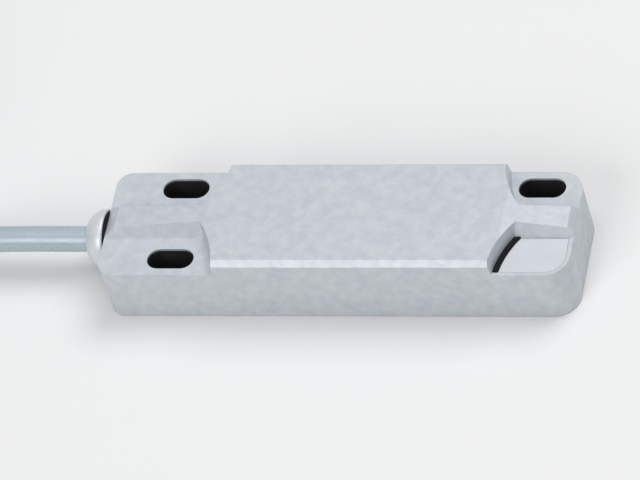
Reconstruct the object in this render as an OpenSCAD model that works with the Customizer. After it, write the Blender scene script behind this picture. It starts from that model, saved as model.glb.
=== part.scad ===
// Rectangular magnetic proximity sensor with a moulded-on cable, built as it comes apart on a bench.
// Millimetres. The origin is the centre of the mounting face; +X points away from the cable,
// +Y to the back and +Z up through the raised sensing face.

/* [Housing] */
// Length of the housing along X, without the cable gland
body_l = 88; // [84:0.5:96]
// Width of the housing along Y
body_w = 24; // [23.5:0.5:27]
// Height of the raised sensing face above the mounting face
body_h = 15; // [14.5:0.5:18]
// Height of the lower corner pads above the mounting face
pad_h = 11.8; // [11.6:0.1:12.4]
// Corner radius in plan at the cable end
corner_r_cable = 3; // [2:0.5:4]
// Corner radius in plan at the far end
corner_r_far = 4.5; // [3:0.5:5]
// Bevel along the outer edges of the raised face
face_bevel = 1; // [0.4:0.1:1.2]
// How far the steps down to the corner pads lean back over their height
step_draft = 0.5; // [0.3:0.1:0.6]
// How far the raised strip's flanks lean in over their height
flank_draft = 1.6; // [1:0.1:1.7]
// Height of the raised strip's two ends above the mounting face
strip_end_z = 13.7; // [13.4:0.1:14.2]
// Length of the slope that ends the raised strip above the cable
slope_l = 2.2; // [1.6:0.1:2.6]
// Bevel along the outer edges of the corner pads
pad_bevel = 0.4; // [0.2:0.1:0.6]
// Half width of the raised strip between the pads, at its foot
strip_half = 3.4; // [3.2:0.1:3.6]
// Thickness of the housing's side walls
wall = 1.4; // [1.2:0.1:1.6]
// Thickness of the housing's top under the pads and the raised face
roof_t = 1.4; // [1.2:0.1:1.6]
// Thickness of the black base set into the underside
base_t = 1.6; // [1.4:0.1:2]

/* [Corner pads] */
// X of the arc centre that bounds the two pads at the far end
far_arc_x = 50.1; // [49.8:0.1:50.3]
// Radius of that arc
far_arc_r = 20; // [19.9:0.1:20.1]
// X of the arc centre that bounds the two pads at the cable end
cable_arc_x = -42; // [-42.5:0.1:-41.5]
// Radius of that arc
cable_arc_r = 20; // [19.8:0.1:20.2]
// Distance of all four arc centres from the middle plane
arc_y = 14; // [13.8:0.1:14.2]

/* [Mounting slots] */
// X of the two slots at the cable end
slot_x_cable = -30.5; // [-31:0.1:-30]
// X of the one slot at the far end
slot_x_far = 36.5; // [36:0.1:37]
// Distance of the slots from the middle plane
slot_y = 8.2; // [8:0.1:8.3]
// Clear width of a slot
slot_w = 4.5; // [4.3:0.1:4.6]
// Clear length of a slot, end to end
slot_l = 8.8; // [8:0.1:9]
// Wall of the boss that lines each slot
boss_wall = 0.6; // [0.5:0.1:0.7]
// Thickness of the housing's skin over the top of each boss
boss_skin = 0.5; // [0.4:0.1:0.8]

/* [Indicator corner] */
// Thickness of the black seal between the raised face and the lens
seal_strip_t = 1; // [0.8:0.1:1.2]
// Height of the top of that seal
seal_strip_z = 12.2; // [12:0.1:13]
// Distance of the seal's front end from the middle plane
seal_strip_y = 11.3; // [11:0.1:11.5]
// Width of the housing's rim round the lens
lens_rim = 0.8; // [0.7:0.1:1]
// Thickness of the lens plate
lens_t = 2; // [1.6:0.1:2.2]
// X of the light source and of the lens stem
led_x = 37.8; // [37.6:0.1:38]
// Distance of the light source in front of the middle plane
led_y = 7.6; // [7.2:0.1:7.8]

/* [Cable and gland] */
// Outer diameter of the cable
cable_d = 4.8; // [4.6:0.1:5]
// Height of the cable's centre where it enters the housing
cable_z = 7.4; // [7.4:0.1:7.6]
// Radius of the gland collar at its root
collar_r = 5.5; // [5:0.1:5.8]
// Radius of the gland collar at its nose
collar_nose_r = 3.6; // [3.3:0.1:4]
// Length of the gland collar
collar_l = 3.6; // [3.2:0.1:4]
// Thickness of the rubber ring behind the collar
seal_t = 0.6; // [0.5:0.1:1]
// Radius of the rubber ring
seal_r = 5.2; // [4.8:0.1:5.3]

/* [Cable hank] */
// Straight length of the hank's runs
hank_run = 48; // [46:1:50]
// Radius of the outer turns at the cable's centre
hank_outer_r = 19.3; // [19.3:0.1:20]
// Radius of the inner turns at the cable's centre
hank_inner_r = 14.4; // [14.4:0.1:14.6]

/* [Electronics] */
// Thickness of the circuit board
board_t = 0.8; // [0.8:0.1:1]
// Diameter of a reed switch's glass tube
glass_d = 2.4; // [2.3:0.1:2.6]
// Length of a reed switch's glass tube
glass_l = 14; // [13:0.5:15]
// Distance of each reed switch from the middle plane
reed_y = 6; // [5:0.1:7]
// Open gap between the reed contacts
reed_gap = 0.22; // [0.2:0.01:0.24]

/* [Hidden] */
$fn = 64;

eps = 0.01;
gap = 0.1;                                     // clearance between pieces that are laid in place
far_x = body_l / 2;
cable_x = -body_l / 2;
side_y = body_w / 2;

// Each corner pad's arc, as the list [centre x, radius, direction of the nearer end]
pad_arcs = [[far_arc_x, far_arc_r, 1], [cable_arc_x, cable_arc_r, -1]];

roof_z = body_h - roof_t;                      // ceiling under the raised face
pad_roof_z = pad_h - roof_t;                   // ceiling under the corner pads
ramp_cable_x = -24;                            // where the raised face starts to fall to the strip's ends
ramp_far_x = 31;
step_wall = 1.3;                               // wall between a corner pad and the raised chamber
boss_top = pad_h - boss_skin;
inner_x0 = cable_x + wall;                     // inner face of the end wall at the cable
seal_sheet_t = 0.6;                            // sealing sheet between the base and the resin
resin_z = base_t + seal_sheet_t;
resin_low_z = 5.8;                             // resin level below the wires

board_z = cable_z - board_t / 2;
board_top = board_z + board_t;
board_x0 = -33.5;
board_x1 = 41;

lens_z = pad_h - lens_t;
lens_r = far_arc_r - seal_strip_t;
ledge_w = 1.4;                                 // ledge that the lens and its seal stand on
ledge_z = 7.9;                                 // underside of that ledge
stem = [5, 3.6];
stem_z = 8.9;

collar_x = cable_x - seal_t;                   // root face of the collar
nose_x = collar_x - collar_l;                  // where the cable leaves the collar
shank_r = 3;
clamp_r = 2.95;
jacket_end_x = -37.5;
cable_r = cable_d / 2;
bore_play = 0.05;

wire_r = 0.5;
wire_y = 0.75;
copper_r = 0.3;

reed_x = 3;
reed_z = board_top + 1.8;                      // centre of the reed tubes
seal_l = 1.6;                                  // solid glass at each end of a reed tube
blade_w = 1;
blade_t = 0.2;
blade_l = 6.3;
reed_lead_r = 0.25;
reed_leg_x = glass_l / 2 + 2.4;

hank_layers = 5;
tie_t = 0.7;
tie_w = 3.6;
hank_x = -111.7;                               // centre of the hank's near end
hank_y = 9.3;
hank_z = tie_t;
hank_top = hank_z + hank_layers * cable_d + 0.2;
hank_half = hank_outer_r + cable_r;
hank_hole = hank_inner_r - cable_r;
hank_far_x = hank_x - hank_run;                // centre of the hank's far end
tail_y = hank_y - 8.3;
tail_x0 = hank_far_x + 1.5;                    // where the jacket ends
tail_x1 = hank_far_x + 21;
lead_r = 0.65;
lead_pitch = 1.4;
lead_bend_r = hank_y - tail_y;
lead_end_x = hank_far_x + 6;                   // where the ferrules start
ferrule_l = 8;

// Centre of the cable from the collar's nose, down to the surface and into the hank
cable_route = [
    [nose_x, 0, cable_z],
    [-54, 0, cable_z],
    [-61, 0, cable_z],
    [-67, 0, 7.1],
    [-73, -0.5, 6],
    [-79, -2, 4.6],
    [-85, -4.2, 3.5],
    [-91, -6.6, 3.1],
    [-97, -8.6, 3.1],
    [-103, -9.7, 3.1]
];

function unit(v) = v / norm(v);
function heading(path, i) =
    unit(path[min(i + 1, len(path) - 1)] - path[max(i - 1, 0)]);
function ring(path, i, r, sides) =
    let (t = heading(path, i), s = unit(cross([0, 0, 1], t)), u = cross(t, s))
    [for (k = [0 : sides - 1]) path[i] + r * (cos(360 * k / sides) * s + sin(360 * k / sides) * u)];

// Closed tube along a path of points
module swept_tube(path, r, sides = 10) {
    rings = len(path);
    points = [for (i = [0 : rings - 1]) each ring(path, i, r, sides)];
    walls = [
        for (i = [0 : rings - 2], k = [0 : sides - 1])
            let (a = i * sides + k, b = i * sides + (k + 1) % sides)
            [a, a + sides, b + sides, b]
    ];
    start_cap = [for (k = [0 : sides - 1]) k];
    end_cap = [for (k = [sides - 1 : -1 : 0]) (rings - 1) * sides + k];
    polyhedron(points, concat(walls, [start_cap, end_cap]));
}

// Cylinder along X between two stations
module rod_x(x0, x1, r, y = 0, z = 0)
    translate([x0, y, z]) rotate([0, 90, 0]) cylinder(r = r, h = x1 - x0);

module slab_2d(x0, x1, y)
    translate([x0, -y]) square([x1 - x0, 2 * y]);

module slot_2d(l, w) {
    square([l - w, w], center = true);
    for (side = [-1, 1]) translate([side * (l - w) / 2, 0]) circle(d = w);
}

module at_slots() {
    for (side = [-1, 1]) translate([slot_x_cable, side * slot_y, 0]) children();
    translate([slot_x_far, slot_y, 0]) children();
}

// The bosses' outline, grown by a clearance
module bosses_2d(play = 0) {
    at_slots() slot_2d(slot_l + 2 * (boss_wall + play), slot_w + 2 * (boss_wall + play));
}

// The body's outline in plan, inset by a wall
module body_2d(inset = 0) {
    slab_2d(cable_x + corner_r_cable, far_x - corner_r_far, side_y - inset);
    slab_2d(cable_x + inset, 0, side_y - corner_r_cable);
    slab_2d(0, far_x - inset, side_y - corner_r_far);
    for (side = [-1, 1]) {
        translate([cable_x + corner_r_cable, side * (side_y - corner_r_cable)])
            circle(corner_r_cable - inset);
        translate([far_x - corner_r_far, side * (side_y - corner_r_far)]) circle(corner_r_far - inset);
    }
}

// Block over the body's outline, cut to a side profile of [x, z] points and bevelled along both sides
module profiled_body(profile, top, bevel) {
    intersection() {
        linear_extrude(top) body_2d();
        translate([cable_x, 0, 0]) rotate([90, 0, 90]) linear_extrude(body_l)
            polygon([
                [-side_y, 0], [side_y, 0], [side_y, top - bevel],
                [side_y - bevel, top], [bevel - side_y, top], [-side_y, top - bevel]
            ]);
        translate([0, side_y, 0]) rotate([90, 0, 0]) linear_extrude(body_w)
            polygon(concat([[cable_x, 0], [far_x, 0]], profile));
    }
}

// The whole body up to the corner pads
module lower_body() {
    profiled_body([
        [far_x, pad_h - pad_bevel], [far_x - pad_bevel, pad_h],
        [cable_x + pad_bevel, pad_h], [cable_x, pad_h - pad_bevel]
    ], pad_h, pad_bevel);
}

// The raised face, which falls gently to the strip's two ends
module raised_body() {
    profiled_body([
        [far_x, strip_end_z - face_bevel], [far_x - face_bevel, strip_end_z], [ramp_far_x, body_h],
        [ramp_cable_x, body_h], [cable_x + slope_l, strip_end_z], [cable_x, pad_h]
    ], body_h, face_bevel);
}

// The four corner regions that stay at pad height, grown by a wall
module pads_2d(grow = 0) {
    difference() {
        for (arc = pad_arcs, side = [-1, 1]) {
            r = arc[1] + grow;
            translate([arc[0], side * arc_y]) circle(r);
            translate([arc[0] + (arc[2] > 0 ? 0 : -body_l), side * arc_y - r]) square([body_l, 2 * r]);
        }
        slab_2d(-body_l, body_l, strip_half - grow);
    }
}

// What is cut away above the corner pads, with leaning steps
module above_pads() {
    rise = body_h - pad_h;
    over = 2;                                  // factor by which the cut overshoots the raised face
    intersection() {
        for (arc = pad_arcs, side = [-1, 1]) translate([arc[0], side * arc_y, pad_h]) {
            cylinder(r1 = arc[1], r2 = arc[1] + over * step_draft, h = over * rise);
            translate([arc[2] > 0 ? 0 : -body_l, -arc[1], 0]) cube([body_l, 2 * arc[1], over * rise]);
        }
        translate([-body_l, 0, pad_h]) rotate([90, 0, 90]) linear_extrude(2 * body_l)
            for (side = [0, 1]) mirror([side, 0])
                polygon([
                    [strip_half, 0], [body_w, 0], [body_w, over * rise],
                    [strip_half - over * flank_draft, over * rise]
                ]);
    }
}

// Hollow of the housing: up to the pads' ceiling all over, higher under the flat of the raised face
module hollow() {
    linear_extrude(pad_roof_z) body_2d(wall);
    linear_extrude(roof_z) difference() {
        intersection() {
            body_2d(wall);
            slab_2d(ramp_cable_x, ramp_far_x, side_y);
        }
        pads_2d(step_wall);
    }
    linear_extrude(boss_top) bosses_2d(bore_play);
}

// Ledge inside the housing, along the two inner edges of the lens
module lens_ledge() {
    inner_y = -strip_half - ledge_w;
    translate([0, 0, ledge_z]) linear_extrude(pad_roof_z - ledge_z) intersection() {
        body_2d(wall / 2);
        difference() {
            translate([0, -body_w]) square([body_l, body_w - strip_half + step_wall]);
            intersection() {
                translate([far_arc_x, -arc_y]) circle(lens_r - ledge_w);
                translate([0, -body_w]) square([body_l, body_w + inner_y]);
            }
            translate([far_arc_x, -body_w]) square([body_l, body_w + inner_y]);
        }
        union() {
            translate([far_arc_x, -arc_y]) circle(far_arc_r + step_wall);
            translate([far_arc_x, -body_w]) square(body_w);
        }
    }
}

// Corner that the lens fills, grown by a clearance
module lens_corner_2d(play = 0) {
    intersection() {
        union() {
            translate([far_arc_x, -arc_y]) circle(lens_r + play);
            translate([far_arc_x, -body_w]) square(body_w);
        }
        translate([0, -body_w]) square([body_l, body_w - strip_half - bore_play + play]);
        body_2d(lens_rim - play);
    }
}

module seal_strip_2d() {
    intersection() {
        difference() {
            translate([far_arc_x, -arc_y]) circle(far_arc_r);
            translate([far_arc_x, -arc_y]) circle(lens_r);
        }
        translate([0, -seal_strip_y]) square([far_x, seal_strip_y - strip_half]);
    }
}

module housing() {
    color([0.80, 0.82, 0.84])
    difference() {
        union() {
            lower_body();
            difference() {
                raised_body();
                above_pads();
            }
        }
        translate([0, 0, -eps]) difference() {
            hollow();
            lens_ledge();
        }
        at_slots() linear_extrude(body_h) slot_2d(slot_l, slot_w);
        translate([0, 0, lens_z]) linear_extrude(body_h) {
            lens_corner_2d(bore_play);
            seal_strip_2d();
        }
        rod_x(cable_x - 1, inner_x0 + 1, shank_r + bore_play, 0, cable_z);
    }
}

module base_tray() {
    color([0.10, 0.10, 0.11])
    difference() {
        union() {
            linear_extrude(base_t) body_2d(wall + gap);
            linear_extrude(boss_top - gap) bosses_2d();
        }
        at_slots() translate([0, 0, -1]) linear_extrude(body_h) slot_2d(slot_l, slot_w);
    }
}

module base_seal() {
    color([0.16, 0.16, 0.17])
    translate([0, 0, base_t]) linear_extrude(seal_sheet_t) difference() {
        body_2d(wall + gap);
        bosses_2d(bore_play);
    }
}

module potting_resin() {
    color([0.12, 0.11, 0.10])
    translate([0, 0, resin_z]) difference() {
        union() {
            linear_extrude(resin_low_z - resin_z) intersection() {
                body_2d(wall + gap);
                slab_2d(jacket_end_x + 0.3, far_x, side_y);
            }
            linear_extrude(board_z - resin_z) intersection() {
                body_2d(wall + gap);
                slab_2d(-20, far_x, side_y);
            }
        }
        translate([0, 0, -eps]) linear_extrude(body_h) bosses_2d(bore_play);
    }
}

module lens_seal() {
    color([0.03, 0.03, 0.03])
    translate([0, 0, lens_z]) linear_extrude(seal_strip_z - lens_z) seal_strip_2d();
}

module circuit_board() {
    color([0.06, 0.35, 0.18])
    translate([0, 0, board_z]) linear_extrude(board_t) {
        slab_2d(-22, 29, 10);
        slab_2d(board_x0, board_x1, 4.6);
        translate([32.5, -9.5]) square([board_x1 - 32.5, 6]);
    }
}

module at_reed(side) translate([reed_x, side * reed_y, reed_z]) children();

// Glass tube of a reed switch, sealed round its leads at both ends
module reed_glass(side) {
    bore_r = glass_d / 2 - 0.35;
    at_reed(side) difference() {
        rotate([0, 90, 0]) union() {
            cylinder(d = glass_d, h = glass_l - glass_d, center = true);
            for (end = [-1, 1]) translate([0, 0, end * (glass_l - glass_d) / 2]) sphere(d = glass_d);
        }
        rod_x(-glass_l / 2 + seal_l, glass_l / 2 - seal_l, bore_r);
        rod_x(-glass_l, glass_l, reed_lead_r + 0.02);
    }
}

module reed_glass_1() color([0.55, 0.75, 0.70, 0.5]) reed_glass(1);
module reed_glass_2() color([0.55, 0.75, 0.70, 0.5]) reed_glass(-1);

// Fixed contact and both outer leads of a reed switch, with the legs bent down to the board
module reed_leads(side) {
    seal_x = glass_l / 2 - seal_l;
    root_x = seal_x - 0.4;
    at_reed(side) {
        for (end = [-1, 1]) {
            from_x = end > 0 ? root_x : seal_x;
            rod_x(min(end * from_x, end * reed_leg_x), max(end * from_x, end * reed_leg_x), reed_lead_r);
            translate([end * reed_leg_x, 0, 0]) sphere(reed_lead_r);
            translate([end * reed_leg_x, 0, board_top - reed_z])
                cylinder(r = reed_lead_r, h = reed_z - board_top);
        }
        translate([seal_x - blade_l + 0.9, -blade_w / 2, reed_gap / 2])
            cube([blade_l - 0.95, blade_w, blade_t]);
    }
}

module reed_leads_1() color([0.80, 0.78, 0.72]) reed_leads(1);
module reed_leads_2() color([0.80, 0.78, 0.72]) reed_leads(-1);

// Springy contact of a reed switch, which bends up to the fixed one
module reed_blade(side) {
    at_reed(side) translate([-glass_l / 2 + seal_l + 0.05, -blade_w / 2, -reed_gap / 2 - blade_t])
        cube([blade_l, blade_w, blade_t]);
}

module reed_blade_1() color([0.85, 0.80, 0.62]) reed_blade(1);
module reed_blade_2() color([0.85, 0.80, 0.62]) reed_blade(-1);

// Axial part lying on the board, with its two legs
module axial_part(x, y, body_d, body_len, span) {
    z = board_top + body_d / 2;
    rod_x(x - body_len / 2, x + body_len / 2, body_d / 2, y, z);
    rod_x(x - span / 2, x + span / 2, copper_r, y, z);
    for (end = [-1, 1]) {
        translate([x + end * span / 2, y, z]) sphere(copper_r);
        translate([x + end * span / 2, y, board_top]) cylinder(r = copper_r, h = body_d / 2);
    }
}

module series_resistors() {
    color([0.78, 0.66, 0.45])
    for (side = [-1, 1]) axial_part(-8, side * 1.6, 1.8, 4, 8);
}

module protection_diode() {
    color([0.75, 0.35, 0.15])
    axial_part(4, 0, 1.9, 3.6, 8);
}

module filter_capacitor() {
    color([0.85, 0.70, 0.15])
    translate([14, -1.3, board_top]) cube([5, 2.6, 3.4]);
}

module indicator_led() {
    color([0.95, 0.95, 0.85])
    translate([led_x, -led_y, board_top]) {
        translate([-1.6, -1.4, 0]) cube([3.2, 2.8, 0.5]);
        translate([0, 0, 0.5]) cylinder(r = 1.1, h = 0.3);
    }
}

module indicator_lens() {
    color([0.88, 0.90, 0.95]) {
        translate([0, 0, lens_z]) linear_extrude(lens_t) lens_corner_2d();
        translate([led_x, -led_y, stem_z]) linear_extrude(lens_z - stem_z + eps)
            square(stem, center = true);
    }
}

module gland_collar() {
    color([0.78, 0.80, 0.82])
    difference() {
        translate([collar_x, 0, cable_z]) rotate([0, -90, 0]) rotate_extrude()
            polygon([
                [0, 0], [collar_r, 0], [collar_r, 1.1], [5.2, 1.9], [4.5, 2.7],
                [collar_nose_r, collar_l], [0, collar_l]
            ]);
        rod_x(nose_x - 1, collar_x + 1, cable_r + bore_play, 0, cable_z);
    }
    color([0.78, 0.80, 0.82])
    difference() {
        rod_x(collar_x, inner_x0, shank_r, 0, cable_z);
        rod_x(collar_x - 1, inner_x0 + 1, cable_r + bore_play, 0, cable_z);
    }
}

module gland_seal() {
    color([0.05, 0.05, 0.05])
    difference() {
        rod_x(collar_x, cable_x, seal_r, 0, cable_z);
        rod_x(collar_x - 1, cable_x + 1, shank_r + bore_play, 0, cable_z);
    }
}

module strain_clamp() {
    color([0.70, 0.71, 0.73])
    difference() {
        rod_x(inner_x0 + gap, inner_x0 + 2, clamp_r, 0, cable_z);
        rod_x(inner_x0, inner_x0 + 3, cable_r + eps, 0, cable_z);
    }
}

module cable_entry() {
    color([0.70, 0.74, 0.78])
    rod_x(nose_x, jacket_end_x, cable_r, 0, cable_z);
}

// Insulated wire from the cable's end to its bare tip on the board, with a drop of solder
module inside_wire(y_side, z_side) {
    y = y_side * wire_y;
    z = cable_z + z_side * (board_t / 2 + wire_r);
    tip_x = -28.5;
    rod_x(jacket_end_x, -31, wire_r, y, z);
    rod_x(-31, tip_x, copper_r, y, z);
    translate([tip_x, y, z - z_side * wire_r]) mirror([0, 0, z_side > 0 ? 0 : 1])
        cylinder(r1 = 0.7, r2 = 0.4, h = 0.9);
}

module wire_brown_inside() color([0.40, 0.24, 0.14]) inside_wire(-1, 1);
module wire_blue_inside() color([0.12, 0.30, 0.70]) inside_wire(1, 1);
module wire_black_inside() color([0.06, 0.06, 0.06]) inside_wire(-1, -1);
module wire_white_inside() color([0.92, 0.92, 0.90]) inside_wire(1, -1);

module cable_free_run() {
    color([0.70, 0.74, 0.78])
    swept_tube(cable_route, cable_r);
}

module hank_2d(r) {
    translate([hank_x, hank_y]) circle(r);
    translate([hank_far_x, hank_y]) circle(r);
    translate([hank_far_x, hank_y - r]) square([hank_run, 2 * r]);
}

module cable_hank() {
    color([0.70, 0.74, 0.78])
    translate([0, 0, hank_z]) linear_extrude(hank_top - hank_z) difference() {
        hank_2d(hank_half);
        hank_2d(hank_hole);
    }
}

module cable_tail() {
    color([0.70, 0.74, 0.78])
    rod_x(tail_x0, tail_x1, cable_r, tail_y, cable_r);
}

module hank_ties() {
    bundle_w = hank_half - hank_hole;
    color([0.10, 0.10, 0.10])
    for (side = [-1, 1])
        translate([hank_x - hank_run / 2, hank_y + side * (hank_half + hank_hole) / 2, 0])
        rotate([90, 0, 90]) linear_extrude(tie_w, center = true) difference() {
            translate([-bundle_w / 2 - tie_t, 0]) square([bundle_w + 2 * tie_t, hank_top + tie_t]);
            translate([-bundle_w / 2, tie_t]) square([bundle_w, hank_top - tie_t]);
        }
}

function lead_offset(index) = (index - 1.5) * lead_pitch;

// Insulated lead beyond the cable's end, curled back inside the hank's far end
module lead(index) {
    r = lead_bend_r + lead_offset(index);
    rod_x(hank_far_x, tail_x0, lead_r, hank_y - r, lead_r);
    translate([hank_far_x, hank_y, lead_r]) rotate(90) rotate_extrude(angle = 180)
        translate([r, 0]) circle(lead_r, $fn = 24);
    rod_x(hank_far_x, lead_end_x, lead_r, hank_y + r, lead_r);
}

module lead_brown() color([0.40, 0.24, 0.14]) lead(0);
module lead_blue() color([0.12, 0.30, 0.70]) lead(1);
module lead_black() color([0.06, 0.06, 0.06]) lead(2);
module lead_white() color([0.92, 0.92, 0.90]) lead(3);

module lead_ferrules() {
    color([0.75, 0.76, 0.78])
    for (index = [0 : 3]) {
        y = hank_y + lead_bend_r + lead_offset(index);
        rod_x(lead_end_x, lead_end_x + ferrule_l, lead_r, y, lead_r);
    }
}

housing();
base_tray();
base_seal();
potting_resin();
lens_seal();
circuit_board();
reed_glass_1();
reed_glass_2();
reed_leads_1();
reed_leads_2();
reed_blade_1();
reed_blade_2();
series_resistors();
protection_diode();
filter_capacitor();
indicator_led();
indicator_lens();
gland_collar();
gland_seal();
strain_clamp();
cable_entry();
wire_brown_inside();
wire_blue_inside();
wire_black_inside();
wire_white_inside();
cable_free_run();
cable_hank();
cable_tail();
hank_ties();
lead_brown();
lead_blue();
lead_black();
lead_white();
lead_ferrules();
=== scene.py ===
import math

import bmesh
import bpy
from mathutils import Matrix, Vector


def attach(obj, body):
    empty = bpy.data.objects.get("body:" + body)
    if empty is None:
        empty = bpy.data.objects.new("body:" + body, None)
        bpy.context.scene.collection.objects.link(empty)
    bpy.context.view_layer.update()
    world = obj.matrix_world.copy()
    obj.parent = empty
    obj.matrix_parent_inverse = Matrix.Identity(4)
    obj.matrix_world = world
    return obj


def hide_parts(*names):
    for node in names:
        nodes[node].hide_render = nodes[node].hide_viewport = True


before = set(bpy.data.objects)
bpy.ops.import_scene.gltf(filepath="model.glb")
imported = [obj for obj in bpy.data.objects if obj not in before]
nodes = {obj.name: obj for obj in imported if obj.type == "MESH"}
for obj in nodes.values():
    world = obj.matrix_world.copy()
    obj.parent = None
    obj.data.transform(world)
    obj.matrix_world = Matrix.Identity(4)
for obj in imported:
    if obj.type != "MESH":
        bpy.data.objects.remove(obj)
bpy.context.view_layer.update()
MM = 0.001
ROOT = "sensor"

# Rounding of CAD edges: points closer than MERGE_GAP are one, faces within FLAT_ANGLE are one,
# edges over BEVEL_ANGLE get rounded, and shading breaks only at edges over SHARP_ANGLE.
MERGE_GAP = 0.002 * MM
FLAT_ANGLE = math.radians(0.5)
BEVEL_ANGLE = math.radians(32)
SHARP_ANGLE = math.radians(35)


# ---------------------------------------------------------------- small helpers
def millimetres(points):
    return [Vector(p) * MM for p in points]


def smooth_step(t):
    return t * t * (3 - 2 * t)


def new_object(name, data):
    piece = bpy.data.objects.new(name, data)
    bpy.context.scene.collection.objects.link(piece)
    return piece


def fixed_piece(piece, material, slot, *replaced):
    """Puts a finished piece on the sensor's body, in place of the CAD nodes it stands for."""
    piece.data.materials.clear()
    piece.data.materials.append(material)
    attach(piece, ROOT)
    if replaced:
        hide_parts(*replaced)
    return piece


def tube(name, points, radius, sides, resolution):
    """A round tube on a smooth curve through the points, in metres."""
    curve = bpy.data.curves.new(name, "CURVE")
    curve.dimensions = "3D"
    curve.bevel_depth = radius
    curve.bevel_resolution = sides // 4
    curve.resolution_u = resolution
    curve.use_fill_caps = True
    spline = curve.splines.new("BEZIER")
    spline.bezier_points.add(len(points) - 1)
    for knot, point in zip(spline.bezier_points, points):
        knot.co = point
        knot.handle_left_type = knot.handle_right_type = "AUTO"
    spline.use_smooth = True
    return new_object(name, curve)


def shade_smooth(piece):
    for face in piece.data.polygons:
        face.use_smooth = True
    return piece


def smooth_object(name, shape):
    """An object with smooth shading from a finished bmesh, which is freed."""
    mesh = bpy.data.meshes.new(name)
    shape.to_mesh(mesh)
    shape.free()
    return shade_smooth(new_object(name, mesh))


def apply_modifiers(piece):
    depsgraph = bpy.context.evaluated_depsgraph_get()
    done = bpy.data.meshes.new_from_object(piece.evaluated_get(depsgraph))
    piece.modifiers.clear()
    piece.data = done
    return piece


def softened(node, width, segments):
    """A copy of a CAD node with its sharp edges rounded over by the given width."""
    mesh = nodes[node].data.copy()
    mesh.materials.clear()
    shape = bmesh.new()
    shape.from_mesh(mesh)
    bmesh.ops.remove_doubles(shape, verts=shape.verts, dist=MERGE_GAP)
    bmesh.ops.dissolve_limit(shape, angle_limit=FLAT_ANGLE, verts=shape.verts, edges=shape.edges)
    shape.to_mesh(mesh)
    shape.free()
    piece = new_object(node + "_soft", mesh)
    rounding = piece.modifiers.new("round", "BEVEL")
    rounding.width = width
    rounding.segments = segments
    rounding.limit_method = "ANGLE"
    rounding.angle_limit = BEVEL_ANGLE
    rounding.use_clamp_overlap = True
    rounding.miter_outer = "MITER_ARC"
    apply_modifiers(shade_smooth(piece))
    piece.data.set_sharp_from_angle(angle=SHARP_ANGLE)
    evened = piece.modifiers.new("even", "WEIGHTED_NORMAL")
    evened.keep_sharp = True
    return apply_modifiers(piece)


def lathe_x(name, profile, axis, steps=72):
    """A ring-shaped solid turned about a line along X, from (x, radius) points in mm."""
    axis_y, axis_z = axis
    shape = bmesh.new()
    rings = []
    for x, radius in profile:
        ring = []
        for step in range(steps):
            angle = 2 * math.pi * step / steps
            ring.append(shape.verts.new((
                x * MM,
                axis_y * MM + radius * MM * math.cos(angle),
                axis_z * MM + radius * MM * math.sin(angle),
            )))
        rings.append(ring)
    for index, near in enumerate(rings):
        far = rings[(index + 1) % len(rings)]
        for step in range(steps):
            after = (step + 1) % steps
            shape.faces.new((near[step], near[after], far[after], far[step]))
    bmesh.ops.recalc_face_normals(shape, faces=shape.faces)
    return smooth_object(name, shape)


# ---------------------------------------------------------------- camera
TARGET = Vector((0, 0, 6.5)) * MM
AZIMUTH = math.radians(23.9)
ELEVATION = math.radians(48.6)
ROLL = math.radians(-18.4)
DISTANCE = 1300 * MM
FRAMING_RIGHT, FRAMING_UP = -4.68, 0.34   # from the target to the middle of the picture, in mm
LENS, SENSOR_WIDTH = 402.7, 36
CLIP_START = 0.05

back = Vector((
    math.sin(AZIMUTH) * math.cos(ELEVATION), -math.cos(AZIMUTH) * math.cos(ELEVATION), math.sin(ELEVATION),
))
level = Vector((math.cos(AZIMUTH), math.sin(AZIMUTH), 0))
upright = back.cross(level)
right = math.cos(ROLL) * level + math.sin(ROLL) * upright
up = -math.sin(ROLL) * level + math.cos(ROLL) * upright
centre = TARGET + (FRAMING_RIGHT * right + FRAMING_UP * up) * MM
camera = new_object("camera", bpy.data.cameras.new("camera"))
camera.data.lens = LENS
camera.data.sensor_width = SENSOR_WIDTH
camera.data.clip_start = CLIP_START
camera.matrix_world = (
    Matrix.Translation(centre + DISTANCE * back) @ Matrix((right, up, back)).transposed().to_4x4()
)
bpy.context.scene.camera = camera


# ---------------------------------------------------------------- cable, from the collar into the hank
# All in mm. The route's first points and the hank's sizes are those of the CAD model.
CABLE_D = 4.8
EXIT = (-48.2, 0, 7.4)
ROUTE = [
    EXIT, (-54, 0, 7.4), (-61, 0, 7.4), (-67, 0, 7.1), (-73, -0.5, 6), (-79, -2, 4.6),
    (-85, -4.2, 3.5), (-91, -6.6, 3.1), (-97, -8.6, 3.1), (-103, -9.7, 3.1),
]
NEAR_X, FAR_X, HANK_Y = -111.7, -159.7, 9.3   # centres of the hank's two folds
OUTER_R, INNER_R = 19.3, 14.4                 # centre radius of the outer and inner turns
LAYERS, FIRST_LAYER_Z, LAYER_PITCH = 5, 3.1, 4.84
LAYER_Z = [FIRST_LAYER_Z + LAYER_PITCH * layer for layer in range(LAYERS)]
RUN_SPANS, FOLD_SPANS = 3, 8                  # spans between route points on a run and a fold
TAIL_Y, TAIL_Z, TAIL_END_X = 1.0, 2.4, -158.2
TAIL_XS = (NEAR_X, -117, -122, -127, -132, -138, -145, -152, TAIL_END_X)
TAIL_SHIFT_L = 26.3                           # length over which the tail moves into the hank's middle


def run(y0, y1, z, towards_near):
    """Points along one straight run of the hank, moving over from y0 to y1."""
    points = []
    for index in range(RUN_SPANS + 1):
        t = index / RUN_SPANS
        x = FAR_X + (NEAR_X - FAR_X) * (t if towards_near else 1 - t)
        points.append((x, y0 + (y1 - y0) * smooth_step(t), z))
    return points


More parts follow.
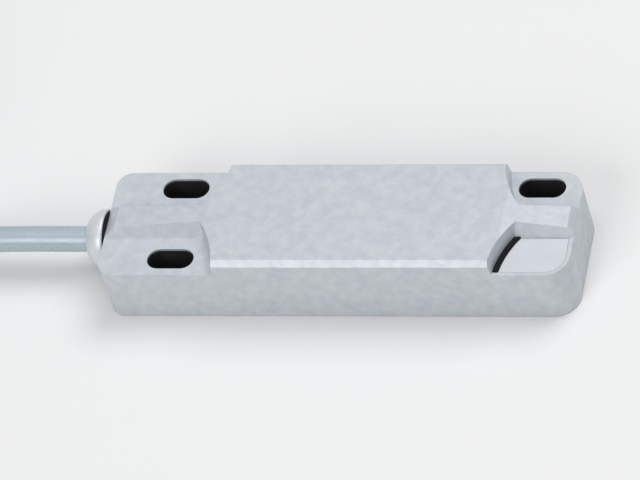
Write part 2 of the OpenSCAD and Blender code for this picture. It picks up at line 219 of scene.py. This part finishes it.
def fold(x, radius, z0, z1, start):
    """Points round one end of the hank, clockwise from above, climbing or sinking on the way."""
    points = []
    for index in range(1, FOLD_SPANS):
        t = index / FOLD_SPANS
        angle = math.radians(start - 180 * t)
        z = z0 + (z1 - z0) * smooth_step(t)
        points.append((x + radius * math.cos(angle), HANK_Y + radius * math.sin(angle), z))
    return points


def cable_points():
    """The whole route: up through the outer turns, down through the inner ones, and out as the tail."""
    points = list(ROUTE)
    top = LAYERS - 1
    for layer, z in enumerate(LAYER_Z):
        points += run(HANK_Y - OUTER_R, HANK_Y - OUTER_R, z, False)
        points += fold(FAR_X, OUTER_R, z, z, -90)
        if layer < top:
            points += run(HANK_Y + OUTER_R, HANK_Y + OUTER_R, z, True)
            points += fold(NEAR_X, OUTER_R, z, LAYER_Z[layer + 1], 90)
    points += run(HANK_Y + OUTER_R, HANK_Y + INNER_R, LAYER_Z[top], True)
    points += fold(NEAR_X, INNER_R, LAYER_Z[top], LAYER_Z[top], 90)
    for layer in range(top, 0, -1):
        z, below = LAYER_Z[layer], LAYER_Z[layer - 1]
        points += run(HANK_Y - INNER_R, HANK_Y - INNER_R, z, False)
        points += fold(FAR_X, INNER_R, z, below, -90)
        points += run(HANK_Y + INNER_R, HANK_Y + INNER_R, below, True)
        points += fold(NEAR_X, INNER_R, below, below, 90)
    start_y = HANK_Y - INNER_R
    for x in TAIL_XS:
        t = smooth_step(min(1, (NEAR_X - x) / TAIL_SHIFT_L))
        points.append((x, start_y + (TAIL_Y - start_y) * t, LAYER_Z[0] + (TAIL_Z - LAYER_Z[0]) * t))
    return points


cable = tube("sensor_cable", millimetres(cable_points()), CABLE_D / 2 * MM, sides=24, resolution=5)


# ---------------------------------------------------------------- materials
PATCH_RANGE = (0.32, 0.68)    # part of the noise over which one colour passes into the other
POLISH_RANGE = (0.3, 0.7)     # part of the noise over which the polish changes
POLISH_SPREAD = 0.06          # how far the roughness strays to each side
POLISH_SCALE = 3              # patches of polish, finer than those of colour


def mix_colours(tree, factor, first, second):
    mix = tree.nodes.new("ShaderNodeMix")
    mix.data_type = "RGBA"
    tree.links.new(factor, mix.inputs["Factor"])
    for socket, colour in (("A", first), ("B", second)):
        target = [i for i in mix.inputs if i.name == socket and i.type == "RGBA"][0]
        target.default_value = (*colour, 1)
    return [o for o in mix.outputs if o.type == "RGBA"][0]


def noise(tree, coordinates, scale, detail, roughness=0.55):
    node = tree.nodes.new("ShaderNodeTexNoise")
    node.inputs["Scale"].default_value = scale
    node.inputs["Detail"].default_value = detail
    node.inputs["Roughness"].default_value = roughness
    tree.links.new(coordinates, node.inputs["Vector"])
    return node.outputs["Fac"]


def spread(tree, value, low, high, to_low=0, to_high=1):
    node = tree.nodes.new("ShaderNodeMapRange")
    for name, number in (("From Min", low), ("From Max", high), ("To Min", to_low), ("To Max", to_high)):
        node.inputs[name].default_value = number
    tree.links.new(value, node.inputs["Value"])
    return node.outputs["Result"]


def surface(name, colour, varied, rough, patch, grain, metallic=0.0, depth=0.02, strength=0.3,
            stretch=(1, 1, 1), specular=0.5, **shader_values):
    """A finish with patches of a second colour, fine grain in its height and an uneven polish.

    Patch and grain are noise scales per metre, and depth is the grain's height in mm.
    """
    material = bpy.data.materials.new(name)
    material.use_nodes = True
    tree = material.node_tree
    shader = tree.nodes["Principled BSDF"]
    shader.inputs["Metallic"].default_value = metallic
    shader.inputs["Specular IOR Level"].default_value = specular
    for key, value in shader_values.items():
        shader.inputs[key.replace("_", " ")].default_value = value
    place = tree.nodes.new("ShaderNodeTexCoord")
    mapping = tree.nodes.new("ShaderNodeMapping")
    mapping.inputs["Scale"].default_value = stretch
    tree.links.new(place.outputs["Object"], mapping.inputs["Vector"])
    spot = mapping.outputs["Vector"]
    patches = spread(tree, noise(tree, spot, patch, 4), *PATCH_RANGE)
    tree.links.new(mix_colours(tree, patches, colour, varied), shader.inputs["Base Color"])
    polish = spread(tree, noise(tree, spot, patch * POLISH_SCALE, 3), *POLISH_RANGE,
                    rough - POLISH_SPREAD, rough + POLISH_SPREAD)
    tree.links.new(polish, shader.inputs["Roughness"])
    bump = tree.nodes.new("ShaderNodeBump")
    bump.inputs["Strength"].default_value = strength
    bump.inputs["Distance"].default_value = depth * MM
    tree.links.new(noise(tree, spot, grain, 4, 0.6), bump.inputs["Height"])
    tree.links.new(bump.outputs["Normal"], shader.inputs["Normal"])
    return material


ALONG_X = (0.2, 1, 1)   # grain drawn out along the wires, as rolled metal has it

cast = surface("cast_aluminium", (0.52, 0.555, 0.59), (0.60, 0.635, 0.665), rough=0.46, metallic=0.25,
               patch=560, grain=3200, depth=0.05, strength=0.5)
# The collar is the housing's cast aluminium, a little smoother; its lighter colour is painted sheen for the
# light its rounded surface reflects.
collar_painted_sheen_look = surface("cast_collar_painted_sheen", (0.63, 0.665, 0.69), (0.70, 0.73, 0.755), rough=0.4, metallic=0.25,
                      patch=560, grain=3200, depth=0.04, strength=0.4)
lens_look = surface("lens_plastic", (0.575, 0.60, 0.645), (0.615, 0.635, 0.68), rough=0.4,
                    patch=200, grain=1500, depth=0.02, strength=0.25)
# Black rubber of the lens and gland seals; its black is also painted shade for the narrow gaps beside the
# lens and between the collar and the housing's end.
rubber_and_gap_shade = surface("black_rubber", (0.004, 0.004, 0.005), (0.008, 0.008, 0.009), rough=0.85, specular=0.25,
                 patch=400, grain=3000, depth=0.03)
# Black base plastic; where its bosses line the mounting slots, the black is also painted shade for the
# slots' depth.
base_and_slot_shade_look = surface("base_plastic_and_slot_shade", (0.014, 0.014, 0.016), (0.024, 0.024, 0.027), rough=0.62,
                    patch=300, grain=3500, depth=0.04, strength=0.5)
sheet_look = surface("sealing_sheet", (0.05, 0.05, 0.055), (0.07, 0.07, 0.075), rough=0.8,
                     patch=300, grain=4000, depth=0.05)
resin_look = surface("potting_resin", (0.025, 0.022, 0.018), (0.045, 0.04, 0.034), rough=0.25,
                     patch=90, grain=600, depth=0.05)
board_look = surface("board_laminate", (0.01, 0.11, 0.045), (0.02, 0.15, 0.065), rough=0.35,
                     patch=500, grain=5000, depth=0.01)
glass_look = surface("reed_glass", (0.80, 0.93, 0.89), (0.84, 0.95, 0.92), rough=0.07, patch=200, grain=900,
                     depth=0.005, strength=0.05, Transmission_Weight=1.0, IOR=1.5)
reed_look = surface("reed_metal", (0.60, 0.57, 0.52), (0.68, 0.65, 0.60), rough=0.3, metallic=1,
                    patch=900, grain=6000, stretch=ALONG_X, depth=0.004)
blade_look = surface("blade_metal", (0.72, 0.64, 0.44), (0.78, 0.70, 0.52), rough=0.28, metallic=1,
                     patch=900, grain=6000, stretch=ALONG_X, depth=0.004)
resistor_look = surface("resistor_body", (0.52, 0.36, 0.18), (0.60, 0.44, 0.24), rough=0.3,
                        patch=600, grain=3000, depth=0.02)
diode_look = surface("diode_body", (0.42, 0.11, 0.03), (0.52, 0.18, 0.05), rough=0.15,
                     patch=500, grain=2500, depth=0.01)
capacitor_look = surface("capacitor_body", (0.70, 0.42, 0.04), (0.78, 0.50, 0.07), rough=0.4,
                         patch=500, grain=3000, depth=0.02)
led_look = surface("led_body", (0.82, 0.78, 0.55), (0.88, 0.85, 0.66), rough=0.3,
                   patch=900, grain=4000, depth=0.01)
clamp_look = surface("clamp_steel", (0.50, 0.51, 0.53), (0.60, 0.61, 0.63), rough=0.3, metallic=1,
                     patch=500, grain=4000, depth=0.01)
jacket = surface("cable_jacket", (0.36, 0.44, 0.495), (0.395, 0.475, 0.53), rough=0.3, specular=1.0,
                 patch=150, grain=1200, depth=0.008, strength=0.15)
tie_look = surface("tie_plastic", (0.012, 0.012, 0.013), (0.022, 0.022, 0.024), rough=0.42,
                   patch=400, grain=2500, depth=0.02)
ferrule_look = surface("ferrule_metal", (0.66, 0.67, 0.68), (0.74, 0.75, 0.76), rough=0.3, metallic=1,
                       patch=700, grain=4000, depth=0.01)
WIRE_LOOKS = {
    colour_name: surface("wire_" + colour_name, colour, varied, rough=rough, patch=400, grain=3000)
    for colour_name, colour, varied, rough in (
        ("brown", (0.15, 0.06, 0.025), (0.19, 0.08, 0.035), 0.38),
        ("blue", (0.02, 0.08, 0.42), (0.03, 0.11, 0.48), 0.38),
        ("black", (0.012, 0.012, 0.012), (0.02, 0.02, 0.02), 0.4),
        ("white", (0.76, 0.76, 0.72), (0.82, 0.82, 0.79), 0.38),
    )
}

INNER_LOOKS = {
    "base_seal": sheet_look, "potting_resin": resin_look, "circuit_board": board_look,
    "reed_glass_1": glass_look, "reed_glass_2": glass_look,
    "reed_leads_1": reed_look, "reed_leads_2": reed_look,
    "reed_blade_1": blade_look, "reed_blade_2": blade_look, "series_resistors": resistor_look,
    "protection_diode": diode_look, "filter_capacitor": capacitor_look, "indicator_led": led_look,
    "strain_clamp": clamp_look, "cable_entry": jacket,
}
for colour_name, look in WIRE_LOOKS.items():
    INNER_LOOKS["wire_" + colour_name + "_inside"] = look
for node_name, look in INNER_LOOKS.items():
    nodes[node_name].data.materials.clear()
    nodes[node_name].data.materials.append(look)


# ---------------------------------------------------------------- cable, leads and ferrules
fixed_piece(cable, jacket, "cable_jacket", "cable_free_run", "cable_hank", "cable_tail")

LEAD_COLOURS = ("brown", "blue", "black", "white")
LEAD_BEND_R, LEAD_PITCH, LEAD_R = 8.3, 1.4, 0.65
LEAD_END_X, FERRULE_L = -153.7, 8
LEAD_GAP = 0.75                             # from the cable's axis to a lead's axis in it, in Y and in Z
LEAD_IN, LEAD_OUT = 1.5, 1                  # first route point inside the jacket's end, and the next outside
FAN_Y, FAN_SHIFT, FAN_Z = 0.85, 0.15, 0.9   # how far the leads have fanned out at the second point
BEND_SPANS = 13
SETTLE_SHARE = 0.4                          # part of the bend in which a lead drops to the ground
STRAIGHT_XS = (FAR_X + 1, -156, LEAD_END_X + 1)


def lead_offset(index):
    """How far a lead lies from the middle of the four, once they lie side by side."""
    return (index - (len(LEAD_COLOURS) - 1) / 2) * LEAD_PITCH


def lead_points(index):
    """One lead's route, out of the jacket and back round the hank's far end to its ferrule."""
    offset = lead_offset(index)
    bend = LEAD_BEND_R + offset
    side = -LEAD_GAP if index < 2 else LEAD_GAP
    height = LEAD_GAP if index in (0, 3) else -LEAD_GAP
    points = [
        (TAIL_END_X + LEAD_IN, TAIL_Y - side, TAIL_Z + height),
        (TAIL_END_X - LEAD_OUT, TAIL_Y - FAN_Y * side - FAN_SHIFT * offset, TAIL_Z + FAN_Z * height),
    ]
    for step in range(1, BEND_SPANS):
        t = step / BEND_SPANS
        angle = math.radians(-90 - 180 * t)
        settle = smooth_step(min(1, t / SETTLE_SHARE))
        radius = bend * settle + (LEAD_BEND_R + FAN_Y * side) * (1 - settle)
        z = (TAIL_Z + FAN_Z * height) * (1 - settle) + LEAD_R * settle
        points.append((FAR_X + radius * math.cos(angle), HANK_Y + radius * math.sin(angle), z))
    return points + [(x, HANK_Y + bend, LEAD_R) for x in STRAIGHT_XS]


# (distance from the lead's end, radius) of the crimped sleeve, in mm
FERRULE_PROFILE = [
    (0, 0.45), (0, 0.62), (0.3, 0.65), (1.2, 0.65), (1.6, 0.58), (3.4, 0.56), (3.6, 0.52), (4.4, 0.56),
    (4.6, 0.52), (5.4, 0.56), (FERRULE_L - 0.3, 0.56), (FERRULE_L, 0.5), (FERRULE_L, 0.2),
    (FERRULE_L - 0.6, 0.2),
]

cable_extras = []
for index, colour_name in enumerate(LEAD_COLOURS):
    lead = tube("lead_" + colour_name + "_soft", millimetres(lead_points(index)), LEAD_R * MM,
                sides=12, resolution=6)
    fixed_piece(lead, WIRE_LOOKS[colour_name], "wire_" + colour_name, "lead_" + colour_name)
    ferrule = lathe_x("ferrule_" + colour_name, [(LEAD_END_X + x, radius) for x, radius in FERRULE_PROFILE],
                      (HANK_Y + LEAD_BEND_R + lead_offset(index), LEAD_R), steps=24)
    fixed_piece(ferrule, ferrule_look, "ferrule_metal", "lead_ferrules")
    cable_extras += [lead, ferrule]


# ---------------------------------------------------------------- ties
TIE_X = (NEAR_X + FAR_X) / 2
TIE_OUTER, TIE_INNER = 22.4, 11.3   # from the hank's middle line to the strap's outside on each side
TIE_TOP = 25.6
TIE_W, TIE_T, TIE_CORNER, TIE_EDGE = 3.6, 0.7, 2.9, 0.18
CORNER_SPANS = 8
HEAD_DEPTH, HEAD_HALF_W, HEAD_LOW, HEAD_HIGH, HEAD_EDGE = 2.6, 2.5, 12, 16.6, 0.5


def strap_loop(name, y_low, y_high):
    """A flat strap bent round one side of the hank, with rounded corners and rounded edges."""
    path = []
    corners = (
        (y_high - TIE_CORNER, TIE_TOP - TIE_CORNER, 0), (y_low + TIE_CORNER, TIE_TOP - TIE_CORNER, 90),
        (y_low + TIE_CORNER, TIE_CORNER, 180), (y_high - TIE_CORNER, TIE_CORNER, 270),
    )
    for corner_y, corner_z, start in corners:
        for step in range(CORNER_SPANS + 1):
            angle = math.radians(start + 90 * step / CORNER_SPANS)
            out_y, out_z = math.cos(angle), math.sin(angle)
            path.append((corner_y + TIE_CORNER * out_y, corner_z + TIE_CORNER * out_z, out_y, out_z))
    half = TIE_W / 2
    outline = [
        (-half, TIE_EDGE), (-half + TIE_EDGE, 0), (half - TIE_EDGE, 0), (half, TIE_EDGE),
        (half, TIE_T - TIE_EDGE), (half - TIE_EDGE, TIE_T),
        (-half + TIE_EDGE, TIE_T), (-half, TIE_T - TIE_EDGE),
    ]
    shape = bmesh.new()
    rings = []
    for y, z, out_y, out_z in path:
        rings.append([
            shape.verts.new(((TIE_X + across) * MM, (y - depth * out_y) * MM, (z - depth * out_z) * MM))
            for across, depth in outline
        ])
    for index, ring in enumerate(rings):
        after = rings[(index + 1) % len(rings)]
        for side in range(len(outline)):
            beside = (side + 1) % len(outline)
            shape.faces.new((ring[side], after[side], after[beside], ring[beside]))
    bmesh.ops.recalc_face_normals(shape, faces=shape.faces)
    return smooth_object(name, shape)


def rounded_block(name, low, high, edge):
    """A small moulded block between two corners, in mm, with rounded edges."""
    shape = bmesh.new()
    bmesh.ops.create_cube(shape, size=1)
    for vertex in shape.verts:
        for axis in range(3):
            vertex.co[axis] = (high[axis] if vertex.co[axis] > 0 else low[axis]) * MM
    bmesh.ops.bevel(shape, geom=shape.edges[:], offset=edge * MM, segments=3, profile=0.5, affect="EDGES")
    return smooth_object(name, shape)


for name, sign in (("front", -1), ("back", 1)):
    outer_y = HANK_Y + sign * TIE_OUTER
    inner_y = HANK_Y + sign * TIE_INNER
    strap = strap_loop("tie_" + name, min(outer_y, inner_y), max(outer_y, inner_y))
    fixed_piece(strap, tie_look, "tie_plastic", "hank_ties")
    head_y = inner_y - sign * HEAD_DEPTH
    head = rounded_block("tie_head_" + name, (TIE_X - HEAD_HALF_W, min(inner_y, head_y), HEAD_LOW),
                         (TIE_X + HEAD_HALF_W, max(inner_y, head_y), HEAD_HIGH), HEAD_EDGE)
    fixed_piece(head, tie_look, "tie_plastic")
    cable_extras += [strap, head]


# ---------------------------------------------------------------- housing, lens, base and gland
# CAD node, rounding in mm, segments, finish, material slot
SOFTENED_NODES = (
    ("housing", 0.22, 3, cast, "cast_aluminium"),
    ("indicator_lens", 0.1, 3, lens_look, "lens_plastic"),
    # the black base also serves as painted shade inside the mounting slots
    ("base_tray", 0.15, 2, base_and_slot_shade_look, "black_plastic"),
    # the lens seal's black is partly painted shade for the gap beside the lens
    ("lens_seal", 0.1, 2, rubber_and_gap_shade, "black_rubber"),
)
for node_name, width, segments, look, slot in SOFTENED_NODES:
    fixed_piece(softened(node_name, width * MM, segments), look, slot, node_name)

# (x, radius) of the turned pieces about the cable's axis, in mm
COLLAR_PROFILE = [
    (-42.65, 2.45), (-42.65, 3.0), (-44.6, 3.0), (-44.6, 5.3), (-44.75, 5.46), (-45.0, 5.5), (-45.7, 5.48),
    (-46.4, 5.24), (-47.0, 4.82), (-47.5, 4.3), (-47.95, 3.8), (-48.15, 3.55), (-48.2, 3.4), (-48.2, 2.75),
    (-48.05, 2.5), (-47.8, 2.45),
]
RING_PROFILE = [
    (-44.0, 3.05), (-44.0, 5.1), (-44.1, 5.18), (-44.3, 5.2), (-44.5, 5.18), (-44.6, 5.1), (-44.6, 3.05),
]
GLAND_AXIS = EXIT[1:]
# The collar's lighter finish is painted sheen on the same cast aluminium.
collar = lathe_x("gland_collar_soft", COLLAR_PROFILE, GLAND_AXIS)
fixed_piece(collar, collar_painted_sheen_look, "cast_aluminium", "gland_collar")
# The black ring is partly painted shade for the gap between the collar and the housing's end.
ring = lathe_x("gland_seal_soft", RING_PROFILE, GLAND_AXIS)
fixed_piece(ring, rubber_and_gap_shade, "black_rubber", "gland_seal")


# ---------------------------------------------------------------- floor and light, in metres
FLOOR_HALF, FLOOR_DROP = 3, 0.0001
FLOOR_COLOUR, FLOOR_ROUGHNESS, FLOOR_SPECULAR = (0.8, 0.8, 0.8, 1), 0.9, 0.1
LAMP_SIZE = 0.9
LAMP_AIM = (0, 0, 0)
LAMPS = (   # name, place, power in watts
    ("front_left", (-0.42, -1.15, 0.86), 7.8),
    ("rear_right", (0.48, 0.58, 1.3), 9),
    ("overhead", (0, 0, 1.5), 4.5),
)
SKY_COLOUR, SKY_STRENGTH = (0.97, 0.985, 1, 1), 0.4


def floor_material():
    material = bpy.data.materials.new("floor")
    material.use_nodes = True
    shader = material.node_tree.nodes["Principled BSDF"]
    shader.inputs["Base Color"].default_value = FLOOR_COLOUR
    shader.inputs["Roughness"].default_value = FLOOR_ROUGHNESS
    shader.inputs["Specular IOR Level"].default_value = FLOOR_SPECULAR
    return material


def soft_lamp(name, place, power):
    light = bpy.data.lights.new(name, "AREA")
    light.shape = "DISK"
    light.size = LAMP_SIZE
    light.energy = power
    lamp = new_object(name, light)
    lamp.location = place
    lamp.rotation_euler = (Vector(LAMP_AIM) - Vector(place)).to_track_quat("-Z", "Y").to_euler()


floor_mesh = bpy.data.meshes.new("floor")
floor_mesh.from_pydata([
    (-FLOOR_HALF, -FLOOR_HALF, 0), (FLOOR_HALF, -FLOOR_HALF, 0), (FLOOR_HALF, FLOOR_HALF, 0),
    (-FLOOR_HALF, FLOOR_HALF, 0),
], [], [(0, 1, 2, 3)])
floor = new_object("floor", floor_mesh)
floor.location.z = -FLOOR_DROP
floor.data.materials.append(floor_material())

for lamp_name, place, power in LAMPS:
    soft_lamp(lamp_name, place, power)

world = bpy.data.worlds.new("world")
world.use_nodes = True
world.node_tree.nodes["Background"].inputs["Color"].default_value = SKY_COLOUR
world.node_tree.nodes["Background"].inputs["Strength"].default_value = SKY_STRENGTH
bpy.context.scene.world = world
bpy.context.scene.view_settings.view_transform = "Standard"
